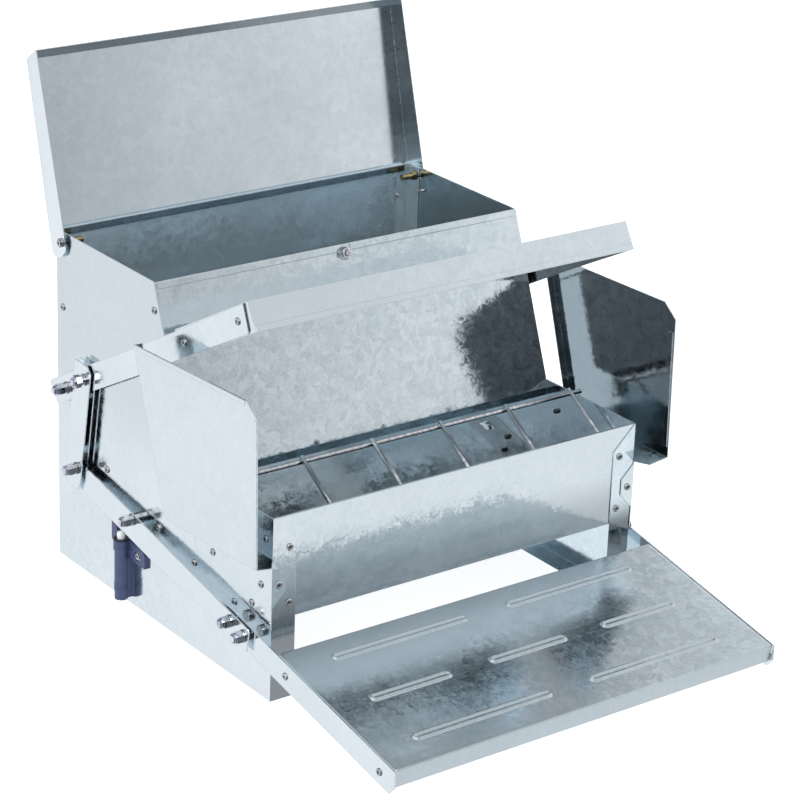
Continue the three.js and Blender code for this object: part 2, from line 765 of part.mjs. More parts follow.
const linkChannel = () =>
  cut(
    join(
      plateYZ(EAR_OUTLINE, LINK_OUTER_X, LINK_OUTER_X + LINK_SHEET),
      plateYZ(EAR_OUTLINE, LINK_INNER_X - LINK_SHEET, LINK_INNER_X),
      strip(
        inLink([-28.4, 110]),
        inLink([-36.0, 157]),
        LINK_SHEET,
        LINK_OUTER_X,
        LINK_INNER_X,
      ),
    ),
    drill([0, 0], M6_HOLE),
    drill(inLink(UPPER_LINK), LINK_UPPER_HOLE, 24),
  );

// ---- hopper lid ------------------------------------------------------------------------
// Drawn closed and level about its pivot; its group swings it open.
const LID_X = 188;
const LID_UNDERSIDE = 16.3; // above the pivot
const LID_TOP = LID_UNDERSIDE + SHEET;
const LID_FRONT = -154.6;
const LID_SIDE_DEPTH = 23.5; // of the side flanges at the pivot
const LID_FLARE = 0.375; // the front flange leans out by this angle, in radians
const LID_FLANGE = 20; // depth of the front flange along its slope

function hopperLid() {
  const lipY = LID_FRONT - LID_FLANGE * Math.sin(LID_FLARE);
  const lipZ = LID_TOP - LID_FLANGE * Math.cos(LID_FLARE);
  const middleZ = LID_UNDERSIDE + SHEET / 2;
  const sheet = bent(
    [[-9.5, middleZ], [LID_FRONT + SHEET / 2, middleZ], [lipY + SHEET / 2, lipZ]],
    SHEET,
    -LID_X,
    LID_X,
  );
  const rearFlange = bent([[-9.9, LID_UNDERSIDE - 3], [-9.9, middleZ]], SHEET, -182, 182);
  const sideFoot = LID_TOP - LID_SIDE_DEPTH;
  const sideFlange = plateYZ(
    [
      [LID_FRONT + 0.1, LID_TOP - 0.1],
      [lipY + 0.5, lipZ + 0.1],
      [-20, sideFoot],
      [4, sideFoot - 0.4],
      [8.5, sideFoot + 2.5],
      [11.5, sideFoot + 7],
      [13, sideFoot + 13],
      [12, LID_TOP - 4],
      [9, LID_TOP - 0.1],
    ],
    -LID_X + 0.05,
    -LID_X + 0.05 + SHEET,
  );
  return cut(
    join(sheet, rearFlange, bothSides(sideFlange)),
    bothSides(drill([0, 0], 2.7, 16)),
  );
}

// ---- assembly --------------------------------------------------------------------------
// A group at [y, z] in its parent, turned about X.
function addGroup(parent, name, [y, z] = [0, 0], angle = 0) {
  const group = new THREE.Group();
  group.name = name + "_group";
  group.position.set(0, y, z);
  group.rotation.x = angle;
  parent.add(group);
  return group;
}

function add(group, name, body, material) {
  const mesh = new THREE.Mesh(flatShaded(body), new THREE.MeshStandardMaterial(material));
  mesh.name = name;
  group.add(mesh);
}

function addPair(group, name, left, material) {
  add(group, name + "_left", left, material);
  add(group, name + "_right", mirrored(left), material);
}

const root = new THREE.Group();
root.name = "gravity_poultry_feeder";
const feeder = addGroup(root, "feeder", [ORIGIN_Y, 0]);

const frame = addGroup(feeder, "frame");
addPair(frame, "side_panel", sidePanel(), ZINC);
add(frame, "back_panel", backPanel(), DARK_ZINC);
add(frame, "hopper_front_panel", hopperFrontPanel(), ZINC);
add(frame, "trough_pan", troughPan(), DARK_ZINC);
add(frame, "feed_saver_grille", feedSaverGrille(), STEEL);
addPair(frame, "side_guard", sideGuard(), ZINC);

const pivotLeverX = leverX(TREADLE_PIVOT[0]);
addPair(frame, "treadle_pivot_bolt", pivotBolt(TREADLE_PIVOT, pivotLeverX - 12.4), STEEL);
addPair(frame, "treadle_pivot_spacer", pivotSpacer(TREADLE_PIVOT, -190.9), STEEL);
addPair(frame, "treadle_pivot_nut", lockNut(TREADLE_PIVOT, pivotLeverX - 0.5, M6), STEEL);
addPair(frame, "cover_pivot_bolt", pivotBolt(COVER_PIVOT, -203.5), STEEL);
addPair(frame, "cover_pivot_spacer", pivotSpacer(COVER_PIVOT, -189.4), STEEL);
addPair(frame, "cover_pivot_nut", lockNut(COVER_PIVOT, -191, M6), STEEL);
addPair(frame, "lid_hinge_screw", lidHingeScrew(), STEEL);
addPair(frame, "lid_hinge_sleeve", lidHingeSleeve(), BRASS);
add(frame, "hopper_front_bolt", hopperFrontBolt(), STEEL);
add(frame, "hopper_front_nut", hopperFrontNut(), STEEL);
add(frame, "damper_body", damperBody(), BLUE_PLASTIC);
add(frame, "damper_seal_ring", damperSealRing(), BLACK_RUBBER);
add(frame, "damper_screw", damperScrew(), STEEL);

const plunger = addGroup(feeder, "damper_plunger");
add(plunger, "damper_plunger", damperPlunger(), WHITE_PLASTIC);

const cover = addGroup(feeder, "trough_cover", COVER_PIVOT, -COVER_ANGLE);
add(cover, "cover_plate", coverPlate(), ZINC);
addPair(cover, "cover_arm", coverArm(), ZINC);
addPair(cover, "upper_link_bolt", linkBolt(upperLinkInCover, M5, 4.6), STEEL);
addPair(cover, "upper_link_nut", lockNut(upperLinkInCover, LINK_NUT_X, M5), STEEL);

const treadle = addGroup(feeder, "treadle", TREADLE_PIVOT);
addPair(treadle, "lever_arm", leverArm(), ZINC);
addPair(treadle, "lower_link_bolt", linkBolt(lowerLinkInTreadle, M6, 5), STEEL);
addPair(treadle, "lower_link_nut", lockNut(lowerLinkInTreadle, LINK_NUT_X, M6), STEEL);
addPair(treadle, "treadle_arm", treadleArm(), ZINC);
for (const [end, joint] of Object.entries({ rear: JOINT_REAR, front: JOINT_FRONT })) {
  addPair(treadle, "joint_bolt_" + end, jointBolt(joint), STEEL);
  addPair(treadle, "joint_nut_" + end, jointNut(joint), STEEL);
}
const plateBack = inTreadle(onTreadle(TREADLE_BACK));
const plateGroup = addGroup(treadle, "treadle_plate", plateBack, TREADLE_TILT);
add(plateGroup, "treadle_plate", treadlePlate(), DARK_ZINC);

const link = addGroup(feeder, "link", LOWER_LINK);
addPair(link, "link", linkChannel(), ZINC);

const lid = addGroup(feeder, "hopper_lid", LID_PIVOT, -LID_ANGLE);
add(lid, "hopper_lid", hopperLid(), ZINC);

root.updateMatrixWorld(true);
export default root;
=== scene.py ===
import json
import math
from functools import reduce

import bmesh
import bpy
from mathutils import Matrix, Vector


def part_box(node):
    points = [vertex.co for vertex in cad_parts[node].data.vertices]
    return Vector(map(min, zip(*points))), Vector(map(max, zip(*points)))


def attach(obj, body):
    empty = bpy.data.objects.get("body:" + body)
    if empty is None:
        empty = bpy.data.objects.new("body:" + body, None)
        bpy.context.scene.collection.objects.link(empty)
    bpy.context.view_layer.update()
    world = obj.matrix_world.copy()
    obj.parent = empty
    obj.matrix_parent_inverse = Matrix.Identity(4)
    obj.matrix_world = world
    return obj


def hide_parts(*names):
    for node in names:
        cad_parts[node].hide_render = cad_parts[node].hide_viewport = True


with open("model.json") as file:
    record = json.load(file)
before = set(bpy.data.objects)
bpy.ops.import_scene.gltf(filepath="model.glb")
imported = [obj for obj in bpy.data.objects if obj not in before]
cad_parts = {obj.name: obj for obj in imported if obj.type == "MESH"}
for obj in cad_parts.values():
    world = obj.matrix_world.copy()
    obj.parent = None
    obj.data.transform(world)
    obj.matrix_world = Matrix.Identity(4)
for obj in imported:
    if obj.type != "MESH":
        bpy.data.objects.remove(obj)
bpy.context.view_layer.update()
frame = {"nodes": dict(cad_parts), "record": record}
NODES = frame["nodes"]
BODY_OF = {
    node: body for body, nodes in frame["record"]["behaviour"]["bodies"].items() for node in nodes
}

MM = 0.001
BACK_Y = 233.18  # the back face of the body, measured from the frame's origin
HALF_WIDTH = 185.0  # of the body
DEPTH = 330.0  # of the body
SHEET = 0.8  # sheet thickness
TO_LEFT, TO_RIGHT = (-1, 0, 0), (1, 0, 0)
TO_FRONT, TO_BACK = (0, -1, 0), (0, 1, 0)


def point(x, y, z):
    """A point given in mm from the back face of the body, in the frame in metres."""
    return Vector((x * MM, (y + BACK_Y) * MM, z * MM))


# ---------------------------------------------------------------------------------------
# shader trees
# ---------------------------------------------------------------------------------------
class Tree:
    """A shader tree being built. Every input takes a plain value or another node's socket."""

    def __init__(self, owner, output="OutputMaterial"):
        owner.use_nodes = True
        self.tree = owner.node_tree
        self.tree.nodes.clear()
        self.output = self.node(output)

    def put(self, socket, value):
        if isinstance(value, bpy.types.NodeSocket):
            self.tree.links.new(value, socket)
        elif socket.type == "RGBA":
            socket.default_value = (*value, 1)
        else:
            socket.default_value = value

    def node(self, kind, inputs={}, **settings):
        made = self.tree.nodes.new("ShaderNode" + kind)
        for key, value in settings.items():
            setattr(made, key, value)
        for key, value in inputs.items():
            self.put(made.inputs[key], value)
        return made

    def finish(self, shader):
        self.put(self.output.inputs[0], shader.outputs[0])

    def coords(self, scale=(1, 1, 1), turn=(0, 0, 0), offset=(0, 0, 0)):
        """Object coordinates."""
        vector = self.node("TexCoord").outputs["Object"]
        inputs = {"Vector": vector, "Scale": scale, "Rotation": turn, "Location": offset}
        return self.node("Mapping", inputs).outputs[0]

    def math(self, kind, a, b=0.0, clamp=False):
        return self.node("Math", {0: a, 1: b}, operation=kind, use_clamp=clamp).outputs[0]

    def add(self, a, b, clamp=False):
        return self.math("ADD", a, b, clamp)

    def times(self, a, b, clamp=False):
        return self.math("MULTIPLY", a, b, clamp)

    def weigh(self, *terms):
        """The sum of (value, weight) terms."""
        return reduce(self.add, [self.times(value, weight) for value, weight in terms])

    def between(self, factor, off, on):
        """The value off where factor is 0, and on where it is 1."""
        rest = self.math("SUBTRACT", 1.0, factor)
        return self.add(self.times(factor, on), self.times(rest, off))

    def vector_add(self, a, b):
        return self.node("VectorMath", {0: a, 1: b}, operation="ADD").outputs[0]

    def centred(self, colour):
        """A colour taken as a vector about zero."""
        inputs = {0: colour, 1: (0.5, 0.5, 0.5)}
        return self.node("VectorMath", inputs, operation="SUBTRACT").outputs[0]

    def scaled(self, vector, factor):
        inputs = {0: vector, "Scale": factor}
        return self.node("VectorMath", inputs, operation="SCALE").outputs[0]

    def unit(self, vector):
        return self.node("VectorMath", {0: vector}, operation="NORMALIZE").outputs[0]

    def dot(self, a, b):
        return self.node("VectorMath", {0: a, 1: b}, operation="DOT_PRODUCT").outputs["Value"]

    def split(self, vector):
        return self.node("SeparateXYZ", {0: vector}).outputs

    def noise(self, vector, scale, detail=3.0, rough=0.6, output="Fac"):
        inputs = {"Vector": vector, "Scale": scale, "Detail": detail, "Roughness": rough}
        return self.node("TexNoise", inputs).outputs[output]

    def cells(self, vector, scale):
        """A random colour for each Voronoi cell."""
        return self.node("TexVoronoi", {"Vector": vector, "Scale": scale}).outputs["Color"]

    def remap(self, value, span, to=(0.0, 1.0), smooth=False):
        kind = "SMOOTHSTEP" if smooth else "LINEAR"
        inputs = dict(enumerate((value, *span, *to)))
        return self.node("MapRange", inputs, interpolation_type=kind).outputs[0]

    def mix(self, factor, a, b):
        return self.node("Mix", {0: factor, 6: a, 7: b}, data_type="RGBA").outputs[2]

    def bump(self, height, strength, distance, **inputs):
        inputs.update(Height=height, Strength=strength, Distance=distance)
        return self.node("Bump", inputs).outputs[0]

    def bevel(self, radius, **inputs):
        return self.node("Bevel", {"Radius": radius, **inputs}, samples=2).outputs[0]


def new_material(name):
    material = bpy.data.materials.new(name)
    return material, Tree(material)


# ---------------------------------------------------------------------------------------
# materials
# ---------------------------------------------------------------------------------------
def galvanised(
    name,
    light=(0.785, 0.845, 0.88),
    dark=(0.67, 0.745, 0.79),
    rough=(0.07, 0.17),  # on light and on dark crystals
    grain=165.0,  # crystals to a metre
    mottle=1.0,  # strength of the crystals
    wave=1.0,  # strength of the slow waves in the reflections
    offset=(0, 0, 0),
    scuffs=1.0,
    metal=1.0,
    edge_tone=(0.93, 0.94, 0.95),
    edge_wear=0.55,
    # amounts of darker tone, standing in for darker reflections, by the way a face is turned
    front=0.0,
    rear=0.0,
    inward=0.0,  # on faces turned to the left
    under=0.0,  # on faces turned down when the part is as drawn
    # painted shade by height, standing in for darker reflections: (height where it starts, height
    # where it is full, amount), heights in metres
    darker_tone=None,  # on all faces
    foot=None,  # on front faces only
):
    """Hot-dip galvanised sheet: crystals that differ in tone, roughness and tilt, with faint
    rolling marks, cloudy patches, wavy reflections, scuffs and worn edges, and optional
    painted shade by facing and height that stands in for darker reflections."""
    material, tree = new_material("galvanised_" + name)
    coords = tree.coords(offset=offset)
    warp = tree.centred(tree.noise(coords, scale=70.0, detail=4.0, output="Color"))
    warped = tree.vector_add(coords, tree.scaled(warp, factor=0.016))
    crystals = tree.cells(warped, scale=grain)
    grains = tree.cells(warped, scale=grain * 2.9)  # inside the crystals
    cloud = tree.noise(coords, scale=11.0, detail=5.0)
    patch = tree.noise(coords, scale=4.2, rough=0.5)
    patch = tree.remap(patch, span=(0.38, 0.66), smooth=True)
    feather = tree.noise(warped, scale=420.0, detail=5.0, rough=0.7)
    fleck = tree.remap(feather, span=(0.42, 0.62))

    # colour, with the crystals stronger in some patches than in others
    tone = tree.weigh(
        (tree.split(crystals)[0], 0.34), (tree.split(grains)[1], 0.26), (fleck, 0.24), (cloud, 0.30)
    )
    tone = tree.remap(tone, span=(0.22, 0.86))
    amount = tree.remap(patch, span=(0.0, 1.0), to=(0.45 * mottle, 0.95 * mottle))
    dimmer = tuple(0.955 * c for c in light)
    plain = tree.mix(tree.remap(cloud, span=(0.35, 0.65)), dimmer, light)
    colour = tree.mix(amount, plain, tree.mix(tone, dark, plain))

    # roughness, with fine lines left by rolling and short scuffs
    roughness = tree.remap(tone, span=(0.0, 1.0), to=rough[::-1])
    roughness = tree.add(roughness, tree.remap(cloud, span=(0.3, 0.7), to=(0.05, -0.03)))
    streak = tree.coords(scale=(3.0, 900.0, 900.0), offset=offset)
    streak = tree.noise(streak, scale=1.0, detail=2.0, rough=0.5)
    roughness = tree.add(roughness, tree.remap(streak, span=(0.3, 0.7), to=(-0.015, 0.02)))
    scuff = tree.coords(scale=(14.0, 120.0, 60.0), turn=(0.3, 0.5, 0.9), offset=offset)
    scuff = tree.vector_add(scuff, tree.scaled(warp, factor=1.2))
    scuff = tree.remap(tree.noise(scuff, scale=1.0, rough=0.65), span=(0.70, 0.78))
    roughness = tree.add(roughness, tree.times(scuff, 0.10 * scuffs), clamp=True)
    colour = tree.mix(tree.times(scuff, 0.30 * scuffs), colour, (0.90, 0.91, 0.92))

    # each crystal is tilted a little, so that it mirrors a different part of the room
    geometry = tree.node("NewGeometry")
    true_normal = geometry.outputs["True Normal"]
    crystal_tilt = tree.scaled(tree.centred(crystals), factor=0.030 * mottle)
    grain_tilt = tree.scaled(tree.centred(grains), factor=0.030 * mottle)
    waves = tree.noise(coords, scale=6.0, detail=2.0, rough=0.5, output="Color")
    waves = tree.scaled(tree.centred(waves), factor=0.040 * wave)
    tilt = tree.vector_add(crystal_tilt, tree.vector_add(grain_tilt, waves))
    normal = tree.unit(tree.vector_add(geometry.outputs["Normal"], tilt))
    relief = tree.add(feather, tree.times(scuff, -0.4))
    normal = tree.bump(relief, strength=0.10, distance=0.00025, Normal=normal)

    # worn edges
    rounded = tree.bevel(radius=0.0010)
    wear = tree.remap(tree.dot(rounded, true_normal), span=(0.995, 0.90))
    broken = tree.remap(tree.noise(coords, scale=260.0), span=(0.35, 0.60), to=(0.25, 1.0))
    wear = tree.times(wear, broken, clamp=True)
    colour = tree.mix(tree.times(wear, edge_wear), colour, edge_tone)
    roughness = tree.add(roughness, tree.times(wear, 0.10), clamp=True)
    normal = tree.unit(tree.vector_add(tree.scaled(rounded, factor=0.8), normal))

    def turned_to(direction, amount=1.0, span=(0.3, 0.8)):
        return tree.remap(tree.dot(true_normal, direction), span, (0.0, amount), smooth=True)

    def by_height(start, full, amount):
        height = tree.split(tree.coords())[2]
        return tree.remap(height, (start, full), (0.0, amount), smooth=True)

    # painted reflection: faces turned to the front darker
    if front:
        colour = tree.mix(turned_to(TO_FRONT, front), colour, (0.10, 0.12, 0.14))
    # painted shade: every face darker by height, with cloudy variation, standing in for darker
    # reflections
    if darker_tone:
        clouded = tree.remap(cloud, span=(0.3, 0.7), to=(0.85, 1.15))
        colour = tree.mix(tree.times(by_height(*darker_tone), clouded), colour, (0.12, 0.14, 0.16))
    # painted shade: front faces darker towards the bottom, standing in for darker reflections
    if foot:
        shade = tree.times(turned_to(TO_FRONT), by_height(*foot))
        colour = tree.mix(shade, colour, (0.05, 0.06, 0.075))
    # painted reflection: faces turned to the back darker, with cloudy variation
    if rear:
        clouded = tree.remap(cloud, span=(0.3, 0.7), to=(0.8, 1.2))
        shade = tree.times(turned_to(TO_BACK, rear), clouded)
        colour = tree.mix(shade, colour, (0.30, 0.34, 0.38))
    # painted reflection: faces turned to the left darker
    if inward:
        shade = turned_to(TO_LEFT, inward, span=(0.5, 0.9))
        colour = tree.mix(shade, colour, (0.05, 0.06, 0.07))
    # painted shade: faces turned down, as the part is drawn, darker
    if under:
        drawn_z = tree.split(tree.node("TexCoord").outputs["Normal"])[2]
        shade = tree.remap(drawn_z, span=(-0.45, -0.70), to=(0.0, under), smooth=True)
        colour = tree.mix(shade, colour, (0.02, 0.03, 0.04))

    inputs = {"Base Color": colour, "Metallic": metal, "Roughness": roughness, "Normal": normal}
    tree.finish(tree.node("BsdfPrincipled", inputs))
    return material


def plated(name, light, dark, rough, thread=False, facet=0.78):
    """Bright plating with darker film in patches and small nicks, ridged along x for a thread.
    facet is the strength of the painted reflection, dark bands round the x axis."""
    material, tree = new_material(name)
    coords = tree.coords()
    cloud = tree.noise(coords, scale=240.0, detail=4.0)
    fine = tree.noise(coords, scale=1600.0)
    darker_tone = tree.remap(cloud, span=(0.35, 0.68), smooth=True)
    colour = tree.mix(darker_tone, light, dark)
    nick = tree.remap(tree.noise(coords, scale=900.0, detail=2.0, rough=0.7), span=(0.66, 0.74))
    colour = tree.mix(tree.times(nick, 0.5), colour, (0.25, 0.26, 0.28))
    roughness = tree.remap(darker_tone, span=(0.0, 1.0), to=rough)
    roughness = tree.add(roughness, tree.times(nick, 0.2), clamp=True)
    if thread:
        along = tree.times(tree.split(coords)[0], 1.0)
        ridge = tree.math("PINGPONG", along, 0.0004)  # half the pitch, in metres
        relief = tree.weigh((ridge, 2200.0), (fine, 0.2))
        normal = tree.bump(relief, strength=0.85, distance=0.0004)
        groove = tree.remap(tree.times(ridge, 2500.0), span=(0.0, 0.45), to=(1.0, 0.0))
        colour = tree.mix(tree.times(groove, 0.6), colour, (0.12, 0.125, 0.13))
    else:
        normal = tree.bump(fine, strength=0.12, distance=0.0002)

    # dark and light bands round the fastener's axis, standing in for a room's reflections
    x, y, z = tree.split(tree.node("NewGeometry").outputs["Normal"])
    angle = tree.math("ARCTAN2", z, y)
    bands = tree.math("SINE", tree.add(tree.times(angle, 3.0), 0.785))  # three bands, an eighth on
    side = tree.remap(tree.math("ABSOLUTE", x), span=(0.85, 0.55), smooth=True)
    shade = tree.remap(bands, span=(0.15, -0.35), to=(0.0, facet), smooth=True)
    colour = tree.mix(tree.times(shade, side), colour, (0.035, 0.04, 0.045))

    rounded = tree.bevel(radius=0.0004, Normal=normal)
    inputs = {"Base Color": colour, "Metallic": 1.0, "Roughness": roughness, "Normal": rounded}
    tree.finish(tree.node("BsdfPrincipled", inputs))
    return material


def moulded(name, light, dark, rough):
    """Moulded plastic or rubber: fine tool texture, slight flow clouds and rubbed edges."""
    material, tree = new_material(name)
    coords = tree.coords()
    cloud = tree.noise(coords, scale=90.0, detail=4.0)
    fine = tree.noise(coords, scale=1500.0)
    colour = tree.mix(tree.remap(cloud, span=(0.3, 0.7)), dark, light)
    speckle = tree.remap(fine, span=(0.35, 0.65), to=(0.0, 0.18))
    colour = tree.mix(speckle, colour, tuple(min(1, c * 1.3) for c in light))
    rounded = tree.bevel(radius=0.0008)
    facing = tree.dot(rounded, tree.node("NewGeometry").outputs["Normal"])
    wear = tree.times(tree.remap(facing, span=(0.99, 0.88)), 0.35)
    colour = tree.mix(wear, colour, tuple(min(1, c * 1.7 + 0.05) for c in light))
    inputs = {
        "Base Color": colour,
        "Roughness": tree.remap(cloud, span=(0.3, 0.7), to=rough),
        "Normal": tree.bump(fine, strength=0.12, distance=0.0002, Normal=rounded),
    }
    tree.finish(tree.node("BsdfPrincipled", inputs))
    return material


BODY = galvanised("body", light=(0.81, 0.875, 0.91), dark=(0.70, 0.775, 0.82))
# painted reflection: faces turned to the back darker
BACK = galvanised(
    "back", light=(0.76, 0.87, 0.92), dark=(0.66, 0.77, 0.82), metal=0.74, wave=0.6, rear=0.34
)
# painted shade: front faces darker towards the bottom
SIDE_RIGHT = galvanised(
    "side_right", light=(0.76, 0.86, 0.91), dark=(0.64, 0.74, 0.79), foot=(0.095, 0.066, 0.80)
)
# painted shade: darker by height on all faces, and darker towards the bottom on front faces
SIDE_LEFT = galvanised(
    "side", light=(0.785, 0.84, 0.87), darker_tone=(0.115, 0.20, 0.13), foot=(0.115, 0.062, 0.72)
)
# painted shade: a dark copy of the sheet, standing in for the shade on the back hem inside the
# hopper
HEM = galvanised("hem", light=(0.34, 0.39, 0.43), dark=(0.24, 0.29, 0.33), offset=(0.9, 1.9, 0.3))
# painted shade: the darker base tone is partly the sheet's own tone and partly painted shade, and
# faces are darker towards the bottom as painted shade
FRONT = galvanised(
    "front", light=(0.725, 0.79, 0.825), dark=(0.61, 0.69, 0.735), wave=0.6,
    rough=(0.05, 0.13), offset=(0.4, 0.1, 0.2), darker_tone=(0.125, 0.078, 0.42),
)
# painted shade on faces turned down, and painted reflection darkening faces turned to the back
LID = galvanised(
    "lid", light=(0.815, 0.875, 0.915), dark=(0.735, 0.805, 0.85), mottle=0.35, wave=0.45,
    rough=(0.12, 0.19), offset=(1.3, 0.7, 0.4), scuffs=0.1, under=0.80, rear=0.26,
)
COVER = galvanised(
    "cover", light=(0.735, 0.795, 0.83), dark=(0.64, 0.71, 0.755), mottle=0.7,
    offset=(2.1, 0.2, 1.4),
)
# painted shade: the darker base tone is partly the sheet's own tone and partly painted shade, and
# faces turned to the front are darker as painted reflection
TREADLE = galvanised(
    "treadle", light=(0.645, 0.715, 0.755), dark=(0.55, 0.635, 0.685), mottle=0.9, wave=0.8,
    rough=(0.10, 0.20), offset=(3.3, 2.2, 0.5), scuffs=0.5, front=0.20,
)
GUARD_LOOK = dict(
    light=(0.765, 0.825, 0.86), dark=(0.64, 0.72, 0.77), rough=(0.06, 0.14),
    edge_tone=(0.26, 0.29, 0.32), edge_wear=0.75,
)
GUARD = galvanised("guard", offset=(4.1, 1.2, 2.5), **GUARD_LOOK)
# painted reflection: the right guard's copy of the guard look has faces turned to the left darker
GUARD_RIGHT = galvanised("guard_right", offset=(2.7, 3.2, 0.5), inward=0.42, **GUARD_LOOK)
STRIP = galvanised(
    "strip", mottle=0.7, grain=190.0, offset=(5.0, 0.3, 0.1),
    edge_tone=(0.28, 0.31, 0.34), edge_wear=0.75,
)

# name, light tone, dark tone, roughness on the light and on the dark tone
ROD = plated("bright_rod", (0.80, 0.82, 0.84), (0.50, 0.53, 0.56), (0.10, 0.22), facet=0.9)
ZINC = plated("zinc_plate", (0.86, 0.87, 0.89), (0.50, 0.53, 0.57), (0.06, 0.16), facet=0.85)
THREAD = plated("zinc_thread", (0.82, 0.83, 0.85), (0.55, 0.58, 0.62), (0.14, 0.28), thread=True)
RIVET = plated("rivet_steel", (0.70, 0.71, 0.73), (0.42, 0.44, 0.47), (0.16, 0.32))
DARK = plated("rivet_core", (0.16, 0.165, 0.175), (0.06, 0.065, 0.07), (0.35, 0.5))
BRASS = plated("yellow_sleeve", (0.52, 0.43, 0.22), (0.32, 0.25, 0.12), (0.16, 0.30))
BLUE = moulded("damper_plastic", (0.046, 0.066, 0.150), (0.033, 0.048, 0.115), (0.28, 0.40))
WHITE = moulded("plunger_plastic", (0.80, 0.82, 0.85), (0.68, 0.71, 0.76), (0.2, 0.3))
RUBBER = moulded("seal_rubber", (0.018, 0.018, 0.02), (0.010, 0.010, 0.012), (0.4, 0.55))
NYLON = moulded("nylon_ring", (0.17, 0.175, 0.43), (0.11, 0.11, 0.32), (0.3, 0.42))

# ---------------------------------------------------------------------------------------
# looks of the CAD pieces: by whole name, then by how the name starts, then by what it holds
# ---------------------------------------------------------------------------------------
BY_NAME = {
    "hopper_front_panel": FRONT,
    "trough_pan": FRONT,
    "hopper_lid": LID,
    "side_panel_left": SIDE_LEFT,
    "side_panel_right": SIDE_RIGHT,
    "back_panel": BACK,
    "cover_plate": COVER,
    "treadle_plate": TREADLE,
    "side_guard_right": GUARD_RIGHT,
    "feed_saver_grille": ROD,
    "damper_body": BLUE,
    "damper_plunger": WHITE,
    "damper_seal_ring": RUBBER,
    "damper_screw": ZINC,
}
BY_START = [
    ("side_guard", GUARD),
    (("cover_arm", "treadle_arm", "lever_arm", "link_"), STRIP),
]
BY_WORD = [
    ("sleeve", BRASS), ("bolt", THREAD), ("screw", THREAD), ("nut", ZINC), ("spacer", ZINC),
]
ROUND_WORDS = ("bolt", "nut", "screw", "spacer", "sleeve", "damper", "grille", "plunger")
SMOOTH_ANGLE = 34  # degrees; sharper edges than this stay crisp on round parts


def look_of(name):
    if name in BY_NAME:
        return BY_NAME[name]
    for start, material in BY_START:
        if name.startswith(start):
            return material
    for word, material in BY_WORD:
        if word in name:
            return material
    return BODY


for name, piece in NODES.items():
    mesh = piece.data
    mesh.materials.clear()
    mesh.materials.append(look_of(name))
    for face in mesh.polygons:
        face.use_smooth = False
    if any(word in name for word in ROUND_WORDS):
        mesh.polygons.foreach_set("use_smooth", [True] * len(mesh.polygons))
        split = piece.modifiers.new("edges", "EDGE_SPLIT")
        split.split_angle = math.radians(SMOOTH_ANGLE)


# ---------------------------------------------------------------------------------------
# building helpers
# ---------------------------------------------------------------------------------------
def make(name, bm, body, materials, smooth=True):
    mesh = bpy.data.meshes.new(name)
    bmesh.ops.remove_doubles(bm, verts=bm.verts, dist=1e-6)
    bmesh.ops.recalc_face_normals(bm, faces=bm.faces)
    bm.to_mesh(mesh)
    bm.free()
    for material in materials:
        mesh.materials.append(material)
    if smooth:
        mesh.polygons.foreach_set("use_smooth", [True] * len(mesh.polygons))
    made = bpy.data.objects.new(name, mesh)
    bpy.context.scene.collection.objects.link(made)
    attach(made, body)
    return made


def lathe(bm, at, axis, profile, segments, slot):
    """Turns a profile of (radius, height) in mm about the axis; a radius of 0 closes an end."""
    axis = Vector(axis).normalized()
    u = axis.orthogonal().normalized()
    v = axis.cross(u)
    angles = [2 * math.pi * k / segments for k in range(segments)]
    rows = []
    for radius, height in profile:
        centre = at + axis * (height * MM)
        if radius == 0:
            rows.append([bm.verts.new(centre)])
            continue
        spokes = [u * math.cos(a) + v * math.sin(a) for a in angles]
        rows.append([bm.verts.new(centre + spoke * (radius * MM)) for spoke in spokes])
    for row, following in zip(rows, rows[1:]):
        for k in range(segments):
            after = (k + 1) % segments
            if len(row) == 1:
                corners = (row[0], following[k], following[after])
            elif len(following) == 1:
                corners = (row[k], row[after], following[0])
            else:
                corners = (row[k], row[after], following[after], following[k])
            bm.faces.new(corners).material_index = slot


def turned(name, body, spots, profiles, materials):
    """One object with every (profile, segments) turned at every (place, axis) spot."""
    bm = bmesh.new()
    for at, axis in spots:
        for index, (profile, segments) in enumerate(profiles):
            lathe(bm, at, axis, profile, segments, index)
    make(name, bm, body, materials)


def pairs(x, places, axis):
    """(place, axis) spots at x and mirrored across the middle, for each (y, z) in places."""
    return [
        (point(side * x, y, z), (side * axis[0], axis[1], axis[2]))
        for y, z in places
        for side in (1, -1)
    ]


def outer_end(piece, side):
    """The middle of a CAD piece's left (side -1) or right (side 1) end."""
    low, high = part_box(piece)
    x = low.x if side < 0 else high.x
    return Vector((x, (low.y + high.y) / 2, (low.z + high.z) / 2))


COVER_PIVOT = (-23.0, 164.7)  # y, z
COVER_ANGLE = math.radians(31.05)


def from_cover(y, z):
    """y, z in the body of a place given about the pivot, in the cover's own directions."""
    cos, sin = math.cos(COVER_ANGLE), math.sin(COVER_ANGLE)
    return COVER_PIVOT[0] + y * cos + z * sin, COVER_PIVOT[1] - y * sin + z * cos


# ---------------------------------------------------------------------------------------
# rivets; profiles are (radius, height), places are (y, z)
# ---------------------------------------------------------------------------------------
RING = [
    (1.35, 0.75), (1.45, 1.15), (1.75, 1.42), (2.2, 1.45), (2.7, 1.18),
    (3.05, 0.7), (3.2, 0.2), (3.2, -0.1), (1.35, -0.1), (1.35, 0.75),
]
CORE = [(0, 1.28), (0.55, 1.27), (1.05, 1.22), (1.3, 1.14), (1.3, 0.0), (0, 0.0)]
TAIL = [
    (0, 3.4), (0.9, 3.35), (1.7, 2.9), (2.2, 2.0), (2.3, 1.1),
    (2.0, 0.5), (2.2, 0.0), (2.2, -0.2), (0, -0.2),
]
PIN = [
    (0, 4.2), (0.6, 4.1), (0.95, 3.7), (1.0, 1.2), (1.9, 0.9), (2.1, 0.3), (2.1, -0.2), (0, -0.2),
]
HOPPER_RIVET = (-155.2, 275.7)
